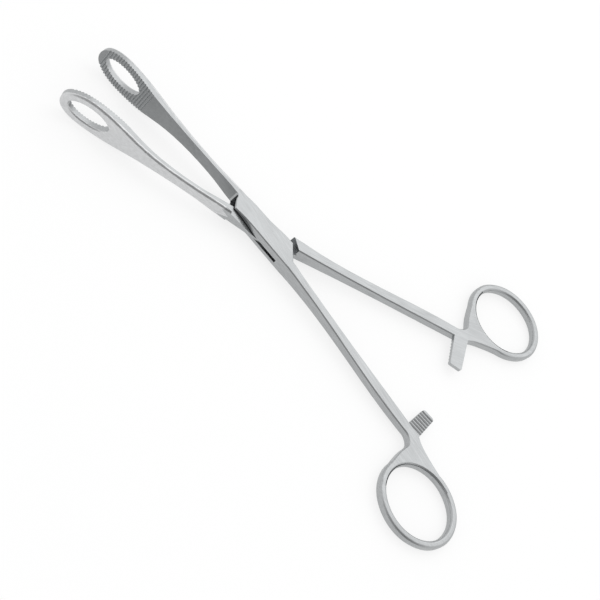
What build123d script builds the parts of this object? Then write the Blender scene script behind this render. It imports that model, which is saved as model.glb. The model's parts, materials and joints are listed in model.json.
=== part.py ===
from build123d import *
import math
import os

# Sponge holding forceps: two crossing arms in a box lock, turning on one flush pin.
# Millimetres. The origin is the middle of the pin's top end, flush in the top face of the lock.
# Z is the pin axis, the jaws point to +X, and the arms stand as far open as in the photo.
# Each arm is drawn alone first, about its own middle plane, with its jaw at y < 0 and its ring at y > 0.

# whole instrument
OPEN_ANGLE = 16.5
LOCK_HALF = 3.4
NECK_HALF = 2.0

# jaws: fenestrated oval ends with cross serrations
JAW_TIP_X = 99.8
JAW_HALF_WIDTH = 8.0
JAW_WIDEST_X = 87.0
JAW_FACE_Y = -0.1
JAW_BACK_Y = -3.6
JAW_FLAT_START_X = 76.0
JAW_EDGE_ROUND = 1.2
WINDOW_EDGE_ROUND = 0.8
WINDOW_X = 86.6
WINDOW_HALF_LENGTH = 9.4
WINDOW_HALF_WIDTH = 4.6
SERRATION_PITCH = 1.3
SERRATION_DEPTH = 0.45
SERRATION_START_X = 72.2
SERRATION_COUNT = 20

# box lock: a slotted female box around a thin male tenon, the slot opening out towards the jaws
SLOT_TOP_Z = 0.2
SLOT_LOW_Z = -1.4
SLOT_FLAT_END_X = 3.0
SLOT_TOP_RISE = 0.19
SLOT_LOW_FALL = 0.09
TENON_GAP = 0.2
TENON_BEND_SHIFT = 2.2
LOCK_PLATE_JAW_X = 22.0
JAW_END_NORMAL = (0.842, 0.539)
JAW_END_DISTANCE = 16.57
HANDLE_END_NORMAL = (-0.765, -0.645)
HANDLE_END_DISTANCE = 11.7
SHOULDER_GAP = 0.35
LOCK_EDGE_BEVEL = 0.4
PIN_RADIUS = 2.0
PIN_CLEARANCE = 0.05

# handle bars: the inner edge is straight, the outer edge bows out; then half the thickness along x
HANDLE_START_X = -9.0
HANDLE_END_X = -130.0
HANDLE_EDGE_BEVEL = 0.45
FEMALE_INNER = [(HANDLE_START_X, 0.6), (-104.5, 14.2)]
FEMALE_OUTER = [(-98, 18.1), (-60, 12.4), (-40, 8.9), (-25, 7.0), (-16.6, 6.3), (HANDLE_START_X, 5.9)]
MALE_INNER = [(HANDLE_START_X, -1.0), (-104.5, 14.2)]
MALE_OUTER = [(-98, 17.9), (-62, 12.1), (-42, 8.5), (-25, 6.2), (-16.5, 5.5), (HANDLE_START_X, 5.0)]
HANDLE_HALF = [(-16.2, LOCK_HALF), (-25, 2.95), (-40, 2.45), (-60, 2.1), (-96, NECK_HALF)]

# finger rings and their necks
RING_X = -121.1
RING_Y = 38.2
RING_HOLE_LONG = 16.6
RING_HOLE_SHORT = 14.5
RING_END_RADIUS = 13.3
RING_WIDTH = 3.4
RING_THICKNESS = 4.2
RING_CORNER = 1.6

# ratchet arms
RATCHET_START_X = -98.0
RATCHET_WIDTH = 7.3
RATCHET_TIP_SLIDE = 2.0
UPPER_RATCHET_TIP_Y = -1.2
LOWER_RATCHET_TIP_Y = 0.4
RATCHET_PITCH = 1.6
RATCHET_TEETH = 7
RATCHET_TOOTH_DEPTH = 0.55
RATCHET_FACE_GAP = 0.15


def outline(*runs):
    """A face bounded by straight lines and smooth curves: a run of two points is a line."""
    edges = []
    for run in runs:
        edges.append(Line(*run) if len(run) == 2 else Spline(*run))
    return make_face(Wire(edges))


def plate(face, half):
    """The face pulled out by the same amount to both sides."""
    return extrude(face, amount=half, both=True)


def side_edge(body, size):
    """Bevel the long edges of a plate that lie on its top and bottom faces."""
    flat = [e for e in body.edges() if abs(abs(e.center().Z) - LOCK_HALF) < 0.01]
    return chamfer(flat, size)


def past_line(normal, distance):
    """A big block that fills everything beyond a line seen from above."""
    turn = math.degrees(math.atan2(normal[1], normal[0]))
    block = Pos(distance + 100, 0, 0) * Box(200, 200, 30)
    return Rot(0, 0, turn) * block


def jaw_and_shank():
    """The blade-like front half: narrow at the lock, spreading into the fenestrated oval."""
    end = JAW_TIP_X + 1
    side = outline(
        [(14, -4.35), (24, -4.25), (40, -4.5), (54, -4.7), (68, -4.3), (80, JAW_BACK_Y), (end, -3.4)],
        [(end, -3.4), (end, JAW_FACE_Y)],
        [(end, JAW_FACE_Y), (JAW_FLAT_START_X, JAW_FACE_Y)],
        [(JAW_FLAT_START_X, JAW_FACE_Y), (73.5, -0.17), (68, -0.75), (60, -1.6), (50, -2.1), (36, -2.05),
         (26, -1.5), (20.5, -1.0), (14, -0.9)],
        [(14, -0.9), (14, -4.35)],
    )
    flat_x = LOCK_PLATE_JAW_X
    upper = [(flat_x, LOCK_HALF), (30, 3.0), (40, 2.8), (54, 3.4), (64, 4.7), (74, 6.7), (82, 7.8),
             (JAW_WIDEST_X, JAW_HALF_WIDTH), (93, 7.2), (97.5, 4.9), (JAW_TIP_X, 0)]
    lower = [(x, -z) for x, z in upper]
    top = Spline(*upper, tangents=[(1, 0), (0, -1)])
    bottom = Spline(*lower, tangents=[(1, 0), (0, 1)])
    root = Polyline((flat_x, -LOCK_HALF), (14, -LOCK_HALF), (14, LOCK_HALF), (flat_x, LOCK_HALF))
    plan = Plane.XZ * make_face(Wire([top, bottom, *root.edges()]))
    body = plate(side, 12) & plate(plan, 12)
    rim = [e for e in body.edges() if e.center().X > 20 and e.center().Y < -2.8 and abs(e.center().Z) > 0.5]
    body = fillet(rim, JAW_EDGE_ROUND)
    window = Plane.XZ * Pos(WINDOW_X, 0) * Ellipse(WINDOW_HALF_LENGTH, WINDOW_HALF_WIDTH)
    body -= plate(window, 12)
    back = [e for e in body.edges() if e.bounding_box().max.Y < -2.5 and e.length > 20
            and e.bounding_box().min.X > WINDOW_X - WINDOW_HALF_LENGTH - 0.1
            and e.bounding_box().max.X < WINDOW_X + WINDOW_HALF_LENGTH + 0.1]
    body = fillet(back, WINDOW_EDGE_ROUND)
    for n in range(SERRATION_COUNT):
        x = SERRATION_START_X + n * SERRATION_PITCH
        groove = Polygon((x - 0.5, JAW_FACE_Y + 0.1), (x + 0.5, JAW_FACE_Y + 0.1),
                         (x, JAW_FACE_Y - SERRATION_DEPTH), align=None)
        body -= plate(groove, 12)
    return body


def handle_bar(inner, outer):
    """The long handle bar and the flat web that spreads from it into the two sides of the ring."""
    plan = outline(
        inner,
        [inner[-1], (-106.3, 15.6), (-112, 18.0), (-120, 20.2), (-128, 22.0)],
        [(-128, 22.0), (-116, 38), (-103.4, 46)],
        [(-103.4, 46), (-101.9, 38), (-101.8, 31), (-102.6, 24.5), (-103.0, 21.5), (-101.6, 19.5), outer[0]],
        outer,
        [outer[-1], inner[0]],
    )
    top = [(HANDLE_START_X, LOCK_HALF), *HANDLE_HALF, (HANDLE_END_X, NECK_HALF)]
    low = [(x, -z) for x, z in reversed(top)]
    side = make_face(Polyline(*top, *low, close=True))
    body = plate(plan, 12) & plate(Plane.XZ * side, 80)
    rim = []
    for edge in body.edges():
        box = edge.bounding_box()
        level = min(abs(box.min.Z), abs(box.max.Z))
        if level > NECK_HALF - 0.01 and box.size.X > 0.01 and Vertex(-116, 38, 0).distance_to(edge) > 5:
            rim.append(edge)
    body = chamfer(rim, HANDLE_EDGE_BEVEL)
    return body - plate(oval(0.35), 12)


def arc_centres():
    """Where the centres of the ring's four arcs lie from its middle, and the radius of the flatter arcs."""
    shift = RING_HOLE_LONG - RING_END_RADIUS
    side_radius = (shift**2 + RING_HOLE_SHORT**2 - RING_END_RADIUS**2) / (2 * (RING_HOLE_SHORT - RING_END_RADIUS))
    return shift, side_radius - RING_HOLE_SHORT, side_radius


def oval(grow):
    """The outline of the finger hole, made of four arcs and grown outwards all round."""
    shift, drop, side_radius = arc_centres()
    reach = (side_radius + grow) / math.hypot(shift, drop)
    x, y = shift * reach, drop * reach - drop
    far_x, far_y = RING_HOLE_LONG + grow, RING_HOLE_SHORT + grow
    arcs = [ThreePointArc((x, -y), (far_x, 0), (x, y)), ThreePointArc((x, y), (0, far_y), (-x, y)),
            ThreePointArc((-x, y), (-far_x, 0), (-x, -y)), ThreePointArc((-x, -y), (0, -far_y), (x, -y))]
    return Pos(RING_X, RING_Y) * make_face(Wire(arcs))


def ring_section(radius):
    """The ring's section at its distance from an arc's centre: a bar whose corners are rounded in flats."""
    wide, high = RING_WIDTH / 2, RING_THICKNESS / 2
    arc = RING_CORNER / math.cos(math.radians(15))
    quarter = []
    for angle in (15, 45, 75):
        quarter.append((wide - RING_CORNER + arc * math.cos(math.radians(angle)),
                        high - RING_CORNER + arc * math.sin(math.radians(angle))))
    points = []
    for side, level in ((1, 1), (-1, 1), (-1, -1), (1, -1)):
        run = [(radius + wide + side * u, level * v) for u, v in quarter]
        points += run if side == level else run[::-1]
    return Plane.XZ * Polygon(*points, align=None)


def finger_ring():
    """The oval ring of rounded stock: four arcs, each turned about its own centre."""
    shift, drop, side_radius = arc_centres()
    half_end = math.degrees(math.atan2(drop, shift))
    half_side = 90 - half_end
    end = Rot(0, 0, -half_end) * revolve(ring_section(RING_END_RADIUS), Axis.Z, 2 * half_end)
    side = Rot(0, 0, 90 - half_side) * revolve(ring_section(side_radius), Axis.Z, 2 * half_side)
    half_ring = Pos(shift, 0, 0) * end + Pos(0, -drop, 0) * side
    return Pos(RING_X, RING_Y, 0) * (half_ring + Rot(0, 0, 180) * half_ring)


def ratchet_arm(upper):
    """The toothed catch that reaches across to the other arm, half as thick as the neck."""
    x0 = RATCHET_START_X
    x1 = x0 - RATCHET_WIDTH
    tip_y = UPPER_RATCHET_TIP_Y if upper else LOWER_RATCHET_TIP_Y
    low = RATCHET_FACE_GAP if upper else -NECK_HALF
    high = NECK_HALF if upper else -RATCHET_FACE_GAP
    shape = Polygon((x0 + 1, 16), (x0, 13.3), (x0 - RATCHET_TIP_SLIDE, tip_y),
                    (x1 - RATCHET_TIP_SLIDE / 2, tip_y), (x1, 13.3), (x1, 16), align=None)
    body = Pos(0, 0, (low + high) / 2) * plate(shape, (high - low) / 2)
    corners = [e for e in body.edges() if abs(e.center().Y - tip_y) < 0.01 and e.length < 3]
    body = chamfer(corners, 0.4) if upper else fillet(corners, 1.3)
    face_z = low if upper else high
    for n in range(RATCHET_TEETH):
        y = tip_y + 1.5 + n * RATCHET_PITCH
        depth = RATCHET_TOOTH_DEPTH if upper else -RATCHET_TOOTH_DEPTH
        notch = Plane.YZ * Polygon((y - 0.55, face_z - depth), (y + 0.55, face_z - depth), (y + 0.55, face_z),
                                   (y + 0.25, face_z + depth), (y - 0.55, face_z), align=None)
        body -= Pos(x0, 0, 0) * plate(notch, 20)
    return body


def slot_profile(gap, shift):
    """The slot from the side: flat around the pin, opening towards the jaws. The tenon is a little smaller."""
    reach = 26
    bend = SLOT_FLAT_END_X + shift
    top = SLOT_TOP_Z - gap
    low = SLOT_LOW_Z + gap
    profile = Polygon((-reach, low), (bend, low), (reach, low - SLOT_LOW_FALL * (reach - bend)),
                      (reach, top + SLOT_TOP_RISE * (reach - bend)), (bend, top), (-reach, top), align=None)
    return plate(Plane.XZ * profile, 30)


def female_arm():
    """The arm with the box: two cheeks with the slot between them."""
    jaw_x = LOCK_PLATE_JAW_X
    box = outline(
        [(jaw_x, -3.2), (16, -4.1), (11, -4.45), (2, -4.35), (-5, -5.1), (-11, -5.1)],
        [(-11, -5.1), (-16.2, 1.6)],
        [(-16.2, 1.6), (-16.2, 6.3)],
        [(-16.2, 6.3), (-10, 6.0), (0, 5.5), (8, 5.1), (16.1, 5.6)],
        [(16.1, 5.6), (18.9, 1.2)],
        [(18.9, 1.2), (19.1, 0.2), (19.9, -0.7), (jaw_x, -1.15)],
        [(jaw_x, -1.15), (jaw_x, -3.2)],
    )
    lock = side_edge(plate(box, LOCK_HALF), LOCK_EDGE_BEVEL)
    slot_plan = Polygon((11.1, -9), (11.1, -5), (17.6, -1.3), (24, 1.5), (24, 12), (-11.1, 12), (-11.1, 5.8),
                        (-16.4, 0.2), (-18.4, -4), (-18.4, -9), align=None)
    slot = plate(slot_plan, 12) & slot_profile(0, 0)
    arm = lock - slot - Cylinder(PIN_RADIUS, 20)
    arm += jaw_and_shank() - slot
    arm += handle_bar(FEMALE_INNER, FEMALE_OUTER) - plate(slot_plan, 12)
    arm += finger_ring()
    arm += ratchet_arm(upper=False)
    return arm


def male_arm():
    """The arm with the tenon: full thickness beyond its shoulders, thin between them."""
    jaw_x = LOCK_PLATE_JAW_X
    waist = outline(
        [(jaw_x, -3.2), (16, -4.1), (11, -4.4), (4, -4.8), (-3, -4.9)],
        [(-3, -4.9), (-13.2, -1.3)],
        [(-13.2, -1.3), (-16.5, 0.1)],
        [(-16.5, 0.1), (-16.5, 5.5)],
        [(-16.5, 5.5), (-11, 5.1), (-5, 4.8)],
        [(-5, 4.8), (2, 4.4), (8, 3.5), (17, 0.3)],
        [(17, 0.3), (jaw_x, -1.15)],
        [(jaw_x, -1.15), (jaw_x, -3.2)],
    )
    jaw_shoulder = past_line((JAW_END_NORMAL[0], -JAW_END_NORMAL[1]), JAW_END_DISTANCE + SHOULDER_GAP)
    handle_shoulder = past_line((HANDLE_END_NORMAL[0], -HANDLE_END_NORMAL[1]), HANDLE_END_DISTANCE + SHOULDER_GAP)
    full = side_edge(plate(waist, LOCK_HALF), LOCK_EDGE_BEVEL)
    arm = (full & slot_profile(TENON_GAP, TENON_BEND_SHIFT)) + (full & jaw_shoulder)
    arm += handle_bar(MALE_INNER, MALE_OUTER) & handle_shoulder
    arm -= Cylinder(PIN_RADIUS + PIN_CLEARANCE, 20)
    arm += jaw_and_shank() & jaw_shoulder
    arm += finger_ring()
    arm += ratchet_arm(upper=True)
    return mirror(arm, about=Plane.XZ)


def save(name, body, turn):
    body = Pos(0, 0, -LOCK_HALF) * Rot(0, 0, turn) * body
    export_step(body, f"parts/{name}.step")
    box = body.bounding_box()
    print(name, "volume", round(body.volume, 1), "solids", len(body.solids()), "valid", body.is_valid,
          [round(v, 2) for v in (*box.min, *box.max)])


def main():
    os.makedirs("parts", exist_ok=True)
    save("female_arm", female_arm(), -OPEN_ANGLE / 2)
    save("male_arm", male_arm(), OPEN_ANGLE / 2)
    save("pivot_pin", Cylinder(PIN_RADIUS, 2 * LOCK_HALF), -OPEN_ANGLE / 2)


if __name__ == "__main__":
    main()
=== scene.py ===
import json
import math

import bmesh
import bpy
from bpy.props import FloatProperty, FloatVectorProperty, PointerProperty
from mathutils import Matrix, Vector


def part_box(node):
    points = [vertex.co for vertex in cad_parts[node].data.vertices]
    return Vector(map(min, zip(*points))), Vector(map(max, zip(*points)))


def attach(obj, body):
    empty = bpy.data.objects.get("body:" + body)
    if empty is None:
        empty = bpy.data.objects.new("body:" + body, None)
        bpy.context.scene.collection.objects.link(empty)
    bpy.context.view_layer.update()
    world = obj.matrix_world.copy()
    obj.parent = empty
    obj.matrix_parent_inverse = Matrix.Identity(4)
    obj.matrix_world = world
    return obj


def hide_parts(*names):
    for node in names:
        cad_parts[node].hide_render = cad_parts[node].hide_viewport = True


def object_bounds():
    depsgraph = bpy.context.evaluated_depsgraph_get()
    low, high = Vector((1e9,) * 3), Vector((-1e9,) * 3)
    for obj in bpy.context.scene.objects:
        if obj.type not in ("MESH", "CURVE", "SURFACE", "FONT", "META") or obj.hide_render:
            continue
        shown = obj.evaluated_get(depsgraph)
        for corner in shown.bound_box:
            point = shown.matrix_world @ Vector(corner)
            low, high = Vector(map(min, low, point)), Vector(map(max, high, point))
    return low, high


bl_info = {
    "name": "Sponge Holding Forceps",
    "version": (1, 0, 0),
    "blender": (4, 5, 0),
    "location": "View3D > Sidebar > Forceps",
    "description": "Dresses the packed box-lock sponge forceps in satin stainless steel and lights them",
    "category": "Object",
}

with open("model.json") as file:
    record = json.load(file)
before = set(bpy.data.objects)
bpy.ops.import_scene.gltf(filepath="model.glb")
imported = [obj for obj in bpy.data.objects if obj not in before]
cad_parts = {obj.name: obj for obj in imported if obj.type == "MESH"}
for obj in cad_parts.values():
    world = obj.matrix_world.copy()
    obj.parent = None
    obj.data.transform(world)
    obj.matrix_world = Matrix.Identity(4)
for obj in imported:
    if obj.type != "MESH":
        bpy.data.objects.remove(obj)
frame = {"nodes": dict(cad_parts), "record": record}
CAD_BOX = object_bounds()

# the arms: how thick the lock is, half of the opening between the jaws, the lean of the handle bars, where a
# shank starts and where a jaw is widest
LOCK_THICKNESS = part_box("pivot_pin")[1][2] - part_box("pivot_pin")[0][2]
HALF_OPEN = math.radians(8.25)
BAR_TURN = math.radians(20)
SHANK_START_X = 0.02
JAW_WIDEST_X = 0.087

# the finger rings: half the thickness of the stock, how far the inner rim reaches out, and its rounding
RING_DEPTH = 0.0021
RING_REACH = 0.0172
RIM_ROUND = 0.0013
RIM_SEGMENTS = 4

# a face belongs to a jaw's inner or outer side by how squarely it looks at the other jaw; the inner side gets
# a darker colour as painted shade, and the outer side a lighter one as a painted reflection
SHADED_INNER_FACING = 0.8
SHEEN_OUTER_FACING = -0.1

# the mesh: points closer than this are one, thinner faces go, and faces within this angle are one
WELD_DISTANCE = 2e-6
SLIVER = 1e-7
FLAT_ANGLE = math.radians(0.3)

# the height of a face's normal: a level face has more than the first, and an upright one less than the second
LEVEL = 0.99
UPRIGHT = 0.1

# the surface: the length of the grinding lines for their width, their depth and their tones, the fineness and
# strength of the buffed patches, and the range that a noise mostly keeps to
LINE_STRETCH = 20
LINE_RELIEF = 0.25
LINE_TONES = (0.9, 1.08)
BUFFING_SCALE = 60.0
BUFFING_SPREAD = 0.05
NOISE_RANGE = (0.3, 0.7)

# the photographer's place: the point aimed at and the camera, on the lock's middle plane and in metres
AIM = (-0.0278, 0.0147, -LOCK_THICKNESS / 2)
CAMERA_DISTANCE = 0.5558
CAMERA_AZIMUTH = 73.71
CAMERA_ELEVATION = 48.48
CAMERA_ROLL = 53.56
CAMERA_LENS = 80.95
CAMERA_SENSOR = 36

# the lamps: place and size in metres, both pointed at the pin
KEY_PLACE = (-0.15, -0.55, 0.75)
KEY_SIZE = 0.8
FILL_PLACE = (0.2, 0.9, 0.5)
FILL_SIZE = 0.6

# the white surroundings: the gap that keeps the table out of the steel, the share of the table's white that
# is its own, and the world's light on the object
TABLE_GAP = 0.0002
TABLE_GLOW = 0.75
WORLD_LIGHT = 0.95

# the dark side of the room behind the photographer: its middle, how wide it is in degrees and how dark
ROOM_AZIMUTH = 100.0
ROOM_ELEVATION = 40.0
ROOM_EDGE = 52
ROOM_CORE = 32
ROOM_DARKNESS = 0.68


def linear(hex_colour):
    """An sRGB hex colour, such as B8B9BA, as the linear RGB that Blender's sockets take."""
    channels = [int(hex_colour[i:i + 2], 16) / 255 for i in (0, 2, 4)]
    return [c / 12.92 if c <= 0.04045 else ((c + 0.055) / 1.055) ** 2.4 for c in channels]


class ForcepsSteel(bpy.types.PropertyGroup):
    """Colours and surface of the two forged arms and the pin."""

    arm_colour: FloatVectorProperty(
        name="Arm steel", description="Satin stainless steel of the arms", subtype="COLOR", size=3,
        min=0, max=1, default=linear("AEB0B1"))
    # painted shade: a darker grey for the jaws' inner sides
    grip_painted_shade_colour: FloatVectorProperty(
        name="Grip steel", description="Blasted steel of the jaws' inner sides", subtype="COLOR", size=3,
        min=0, max=1, default=linear("969899"))
    # painted reflection: a lighter grey for the jaws' outer sides
    outer_painted_sheen_colour: FloatVectorProperty(
        name="Outer steel", description="Polished steel of the jaws' outer sides", subtype="COLOR", size=3,
        min=0, max=1, default=linear("CFD0D1"))
    pin_colour: FloatVectorProperty(
        name="Pin steel", description="Ground end of the pivot pin", subtype="COLOR", size=3,
        min=0, max=1, default=linear("ACAEAF"))
    roughness: FloatProperty(
        name="Satin roughness", description="Roughness of the satin finish",
        subtype="FACTOR", min=0.05, max=1, default=0.34)
    grip_roughness: FloatProperty(
        name="Blasted roughness", description="Roughness of the jaws' inner sides",
        subtype="FACTOR", min=0.05, max=1, default=0.5)
    outer_roughness: FloatProperty(
        name="Polished roughness", description="Roughness of the jaws' outer sides",
        subtype="FACTOR", min=0.05, max=1, default=0.32)
    grain: FloatProperty(
        name="Grinding lines", description="Width of the grinding lines", subtype="DISTANCE", unit="LENGTH",
        min=0.00005, max=0.002, default=0.0004)
    crease: FloatProperty(
        name="Crease angle", description="Edges sharper than this stay crisp", subtype="ANGLE",
        min=0, max=math.pi, default=math.radians(38))


class ForcepsStage(bpy.types.PropertyGroup):
    """The white table and the lamps."""

    floor_size: FloatProperty(
        name="Table size", description="Side of the white table top", subtype="DISTANCE", unit="LENGTH",
        min=0.5, max=20, default=6.0)
    key_power: FloatProperty(
        name="Key power", description="Power of the large soft lamp overhead", unit="POWER",
        min=0, max=200, default=1.25)
    fill_power: FloatProperty(
        name="Fill power", description="Power of the soft lamp on the camera's side", unit="POWER",
        min=0, max=200, default=0.25)


def add_node(tree, kind, inputs=None, **settings):
    """A shader node with its settings, and its inputs set to values or linked to other sockets."""
    node = tree.nodes.new(kind)
    for name, value in settings.items():
        setattr(node, name, value)
    for name, value in (inputs or {}).items():
        if isinstance(value, bpy.types.NodeSocket):
            tree.links.new(value, node.inputs[name])
        else:
            node.inputs[name].default_value = value
    return node


def stainless_steel(name, colour, roughness, grain, turn):
    """Forged stainless steel finished on a belt: fine lines run along the arm and mottle an even grey."""
    material = bpy.data.materials.new(name)
    material.use_nodes = True
    tree = material.node_tree
    tree.nodes.clear()
    place = add_node(tree, "ShaderNodeTexCoord").outputs["Object"]
    # a 240-grit belt leaves lines 0.06 mm wide, drawn coarser here so that they show, and long along the arm
    along = add_node(tree, "ShaderNodeMapping", {
        "Vector": place, "Rotation": (0, 0, turn), "Scale": (LINE_STRETCH, 1, 1)}, vector_type="TEXTURE")
    lines = add_node(tree, "ShaderNodeTexNoise", {
        "Vector": along.outputs["Vector"], "Scale": 1 / grain, "Detail": 2.0}).outputs["Fac"]
    # buffing leaves slightly glossier and duller patches about a finger wide
    patches = add_node(tree, "ShaderNodeTexNoise", {
        "Vector": place, "Scale": BUFFING_SCALE, "Detail": 1.0}).outputs["Fac"]
    rough = add_node(tree, "ShaderNodeMapRange", {
        "Value": patches, "From Min": NOISE_RANGE[0], "From Max": NOISE_RANGE[1],
        "To Min": roughness - BUFFING_SPREAD, "To Max": roughness + BUFFING_SPREAD})
    # each line catches the light a little differently, which mottles the grey
    tone = add_node(tree, "ShaderNodeMapRange", {
        "Value": lines, "From Min": NOISE_RANGE[0], "From Max": NOISE_RANGE[1],
        "To Min": LINE_TONES[0], "To Max": LINE_TONES[1]})
    mottled = add_node(tree, "ShaderNodeHueSaturation", {
        "Color": (*colour, 1), "Value": tone.outputs["Result"]})
    bump = add_node(tree, "ShaderNodeBump", {"Height": lines, "Strength": LINE_RELIEF, "Distance": grain / 4})
    steel = add_node(tree, "ShaderNodeBsdfPrincipled", {
        "Base Color": mottled.outputs["Color"], "Metallic": 1.0, "Roughness": rough.outputs["Result"],
        "Normal": bump.outputs["Normal"]})
    add_node(tree, "ShaderNodeOutputMaterial", {"Surface": steel.outputs["BSDF"]})
    return material


def welded_shell(node_name):
    """The skin of a CAD solid, with its points joined and its flat faces whole."""
    shell = bmesh.new()
    shell.from_mesh(frame["nodes"][node_name].data)
    bmesh.ops.remove_doubles(shell, verts=shell.verts, dist=WELD_DISTANCE)
    bmesh.ops.dissolve_degenerate(shell, edges=shell.edges, dist=SLIVER)
    shell.normal_update()
    bmesh.ops.dissolve_limit(shell, angle_limit=FLAT_ANGLE, verts=shell.verts, edges=shell.edges)
    return shell


def ring_centre(opening_name):
    """The middle of the finger hole that the record names."""
    for opening in frame["record"]["physics"]["openings"]:
        if opening["name"] == opening_name:
            low, high = opening["box_m"]
            return (Vector(low) + Vector(high)) / 2
    raise RuntimeError(f"the record has no opening {opening_name}")


def round_web_rim(shell, centre):
    """Round the square inner rim of the web, so that it runs on into the round stock of the finger ring."""
    rim = []
    for edge in shell.edges:
        wall, flat = sorted(edge.link_faces, key=lambda face: abs(face.normal.z))
        inward = centre - (edge.verts[0].co + edge.verts[1].co) / 2
        inward.z = 0
        square = abs(flat.normal.z) > LEVEL and abs(wall.normal.z) < UPRIGHT
        if square and inward.length < RING_REACH and wall.normal.dot(inward) > 0:
            rim.append(edge)
    if not rim:
        raise RuntimeError("no square rim was found beside the finger ring")
    bmesh.ops.bevel(shell, geom=rim, offset=RIM_ROUND, segments=RIM_SEGMENTS, profile=0.5, affect="EDGES")


def dressed_piece(shell, node_name, piece_name, body, materials, crease):
    """The smooth-shaded piece that takes a CAD solid's place in the picture and rides on its body."""
    mesh = bpy.data.meshes.new(piece_name)
    shell.to_mesh(mesh)
    shell.free()
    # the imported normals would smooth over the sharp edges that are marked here
    mesh.attributes.remove(mesh.attributes["custom_normal"])
    mesh.polygons.foreach_set("use_smooth", [True] * len(mesh.polygons))
    mesh.set_sharp_from_angle(angle=crease)
    mesh.materials.clear()
    for material in materials:
        mesh.materials.append(material)
    piece = bpy.data.objects.new(piece_name, mesh)
    bpy.context.collection.objects.link(piece)
    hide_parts(node_name)
    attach(piece, body)
    even = piece.modifiers.new("even_normals", "WEIGHTED_NORMAL")
    even.keep_sharp = True
    return piece


def shade_and_sheen_jaw_sides(piece, inward):
    """A darker colour as painted shade, with the glass-beaded roughness, where a jaw and its shank look at
    the other jaw, and a lighter colour as a painted reflection, with the buffed roughness, outside.
    """
    for face in piece.data.polygons:
        facing = face.normal.dot(inward)
        if face.center.x > SHANK_START_X and facing > SHADED_INNER_FACING:
            face.material_index = 1
        elif face.center.x > SHANK_START_X and facing < SHEEN_OUTER_FACING:
            face.material_index = 2


class FORCEPS_OT_arms(bpy.types.Operator):
    """Dress the two crossing arms in satin stainless steel"""

    bl_idname = "forceps.arms"
    bl_label = "Dress the arms"

    def execute(self, context):
        steel = context.scene.forceps_steel
        # belt-ground satin all over; glass-beaded grips that scatter the light, in a darker colour that is
        # painted shade; and buffed outer sides, in a lighter colour that is a painted reflection of the white
        # room
        finishes_and_painted_light = (("satin", steel.arm_colour, steel.roughness),
                    ("blasted_and_shaded", steel.grip_painted_shade_colour, steel.grip_roughness),
                    ("polished_and_sheen", steel.outer_painted_sheen_colour, steel.outer_roughness))
        for half, piece_name, side in (("female", "box_arm", 1), ("male", "tenon_arm", -1)):
            materials = [stainless_steel(f"{finish}_stainless_steel_{piece_name}", colour, roughness,
                                         steel.grain, -side * BAR_TURN)
                         for finish, colour, roughness in finishes_and_painted_light]
            shell = welded_shell(f"{half}_arm")
            round_web_rim(shell, ring_centre(f"{half}_finger_ring"))
            arm = dressed_piece(shell, f"{half}_arm", piece_name, f"{half}_half", materials,
                                steel.crease)
            # the inner sides take the painted shade and the outer sides the painted reflection
            shade_and_sheen_jaw_sides(arm, Vector((math.sin(HALF_OPEN), side * math.cos(HALF_OPEN), 0)))
        return {"FINISHED"}


class FORCEPS_OT_pin(bpy.types.Operator):
    """Dress the pivot pin, whose ends are ground flush with the lock"""

    bl_idname = "forceps.pin"
    bl_label = "Dress the pin"

    def execute(self, context):
        steel = context.scene.forceps_steel
        # the pin's ends are ground together with the lock, so they differ from it by a shade only
        ground = stainless_steel("ground_stainless_steel", steel.pin_colour, steel.roughness, steel.grain, 0)
        shell = welded_shell("pivot_pin")
        dressed_piece(shell, "pivot_pin", "flush_pin", "female_half", [ground], steel.crease)
        return {"FINISHED"}


def soft_lamp(name, place, size, power):
    """A large square lamp that points at the pin."""
    lamp = bpy.data.lights.new(name, "AREA")
    lamp.size = size
    lamp.energy = power
    holder = bpy.data.objects.new(name, lamp)
    holder.location = place
    holder.rotation_euler = (-Vector(place)).to_track_quat("-Z", "Y").to_euler()
    bpy.context.collection.objects.link(holder)


def background_ray(tree):
    """One for a ray that should see the background as plain white: straight, mirrored or through glass."""
    path = add_node(tree, "ShaderNodeLightPath").outputs
    seen = add_node(tree, "ShaderNodeMath", {0: path["Is Camera Ray"], 1: path["Is Glossy Ray"]},
                    operation="MAXIMUM")
    seen = add_node(tree, "ShaderNodeMath", {0: seen.outputs[0], 1: path["Is Transmission Ray"]},
                    operation="MAXIMUM")
    return seen.outputs[0]


def white_paper():
    """Matt white paper; part of its brightness is its own, so that it stays white and its shadow faint."""
    material = bpy.data.materials.new("white_paper_sweep")
    material.use_nodes = True
    tree = material.node_tree
    tree.nodes.clear()
    paper = add_node(tree, "ShaderNodeBsdfDiffuse", {"Color": (*linear("FAFAFA"), 1)})
    glow = add_node(tree, "ShaderNodeEmission", {"Color": (1, 1, 1, 1), "Strength": 1.0})
    share = add_node(tree, "ShaderNodeMath", {0: background_ray(tree), 1: TABLE_GLOW}, operation="MULTIPLY")
    mixed = add_node(tree, "ShaderNodeMixShader", {
        0: share.outputs[0], 1: paper.outputs["BSDF"], 2: glow.outputs["Emission"]})
    add_node(tree, "ShaderNodeOutputMaterial", {"Surface": mixed.outputs["Shader"]})
    return material


def white_table(size):
    """The table top just under the jaws and the finger rings; it leans, because the jaws are deeper."""
    jaw_low = CAD_BOX[0][2] - TABLE_GAP
    ring_low = AIM[2] - RING_DEPTH - TABLE_GAP
    slope = (jaw_low - ring_low) / (JAW_WIDEST_X - CAD_BOX[0][0])
    half = size / 2
    plan = ((-half, -half), (half, -half), (half, half), (-half, half))
    mesh = bpy.data.meshes.new("table_top")
    mesh.from_pydata([(x, y, jaw_low + slope * (x - JAW_WIDEST_X)) for x, y in plan], [], [(0, 1, 2, 3)])
    mesh.materials.append(white_paper())
    table = bpy.data.objects.new("table_top", mesh)
    bpy.context.collection.objects.link(table)


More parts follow.
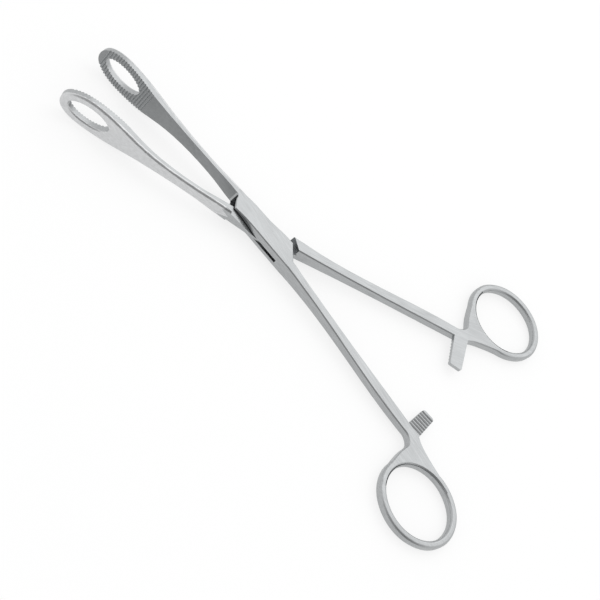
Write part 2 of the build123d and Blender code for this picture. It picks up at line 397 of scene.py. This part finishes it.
def compass(azimuth, elevation):
    """The direction at an azimuth and elevation in degrees."""
    turn, rise = math.radians(azimuth), math.radians(elevation)
    return Vector((math.cos(rise) * math.cos(turn), math.cos(rise) * math.sin(turn), math.sin(rise)))


def white_world():
    """Even white light, seen as pure white by the camera and in reflections, but for the room's dark side."""
    world = bpy.data.worlds.new("white_studio")
    bpy.context.scene.world = world
    world.use_nodes = True
    tree = world.node_tree
    tree.nodes.clear()
    strength = add_node(tree, "ShaderNodeMapRange", {
        "Value": background_ray(tree), "To Min": WORLD_LIGHT, "To Max": 1.0})
    # the dark side of the room is mirrored in the bevels and rounded rims that look towards it
    ray = add_node(tree, "ShaderNodeTexCoord").outputs["Generated"]
    nearness = add_node(tree, "ShaderNodeVectorMath", {0: ray, 1: compass(ROOM_AZIMUTH, ROOM_ELEVATION)},
                        operation="DOT_PRODUCT")
    dark = add_node(tree, "ShaderNodeMapRange", {
        "Value": nearness.outputs["Value"], "From Min": math.cos(math.radians(ROOM_EDGE)),
        "From Max": math.cos(math.radians(ROOM_CORE)), "To Min": 0.0, "To Max": ROOM_DARKNESS},
        interpolation_type="SMOOTHSTEP")
    mirrored = add_node(tree, "ShaderNodeLightPath").outputs["Is Glossy Ray"]
    share = add_node(tree, "ShaderNodeMath", {0: dark.outputs["Result"], 1: mirrored}, operation="MULTIPLY")
    left = add_node(tree, "ShaderNodeMath", {0: 1.0, 1: share.outputs[0]}, operation="SUBTRACT")
    level = add_node(tree, "ShaderNodeMath", {0: strength.outputs["Result"], 1: left.outputs[0]},
                     operation="MULTIPLY")
    glow = add_node(tree, "ShaderNodeBackground", {"Color": (1, 1, 1, 1), "Strength": level.outputs[0]})
    add_node(tree, "ShaderNodeOutputWorld", {"Surface": glow.outputs["Background"]})


def photo_camera():
    """The camera where the photographer stood, turned so that the jaws point up and left."""
    data = bpy.data.cameras.new("photo_camera")
    data.lens = CAMERA_LENS
    data.sensor_width = CAMERA_SENSOR
    camera = bpy.data.objects.new("photo_camera", data)
    back = compass(CAMERA_AZIMUTH, CAMERA_ELEVATION)
    level = back.to_track_quat("Z", "Y").to_matrix().to_4x4()
    roll = Matrix.Rotation(math.radians(CAMERA_ROLL), 4, "Z")
    camera.matrix_world = Matrix.Translation(Vector(AIM) + back * CAMERA_DISTANCE) @ level @ roll
    bpy.context.collection.objects.link(camera)
    bpy.context.scene.camera = camera


class FORCEPS_OT_stage(bpy.types.Operator):
    """Set the white table, the soft lamps and the photographer's camera"""

    bl_idname = "forceps.stage"
    bl_label = "Set the stage"

    def execute(self, context):
        stage = context.scene.forceps_stage
        white_table(stage.floor_size)
        white_world()
        soft_lamp("overhead_softbox", KEY_PLACE, KEY_SIZE, stage.key_power)
        soft_lamp("camera_side_softbox", FILL_PLACE, FILL_SIZE, stage.fill_power)
        photo_camera()
        context.scene.view_settings.view_transform = "Standard"
        return {"FINISHED"}


class FORCEPS_PT_sidebar(bpy.types.Panel):
    """Sizes, colours and steps of the forceps"""

    bl_label = "Sponge Holding Forceps"
    bl_idname = "FORCEPS_PT_sidebar"
    bl_space_type = "VIEW_3D"
    bl_region_type = "UI"
    bl_category = "Forceps"

    def draw(self, context):
        for group in (context.scene.forceps_steel, context.scene.forceps_stage):
            for name in group.__annotations__:
                self.layout.prop(group, name)
        for step in STEPS:
            self.layout.operator(step.bl_idname)


STEPS = (FORCEPS_OT_arms, FORCEPS_OT_pin, FORCEPS_OT_stage)
CLASSES = (ForcepsSteel, ForcepsStage, *STEPS, FORCEPS_PT_sidebar)


def register():
    for cls in CLASSES:
        bpy.utils.register_class(cls)
    bpy.types.Scene.forceps_steel = PointerProperty(type=ForcepsSteel)
    bpy.types.Scene.forceps_stage = PointerProperty(type=ForcepsStage)


def unregister():
    del bpy.types.Scene.forceps_stage
    del bpy.types.Scene.forceps_steel
    for cls in reversed(CLASSES):
        bpy.utils.unregister_class(cls)


def main():
    register()
    bpy.ops.forceps.arms()
    bpy.ops.forceps.pin()
    bpy.ops.forceps.stage()


if __name__ == "__main__":
    main()
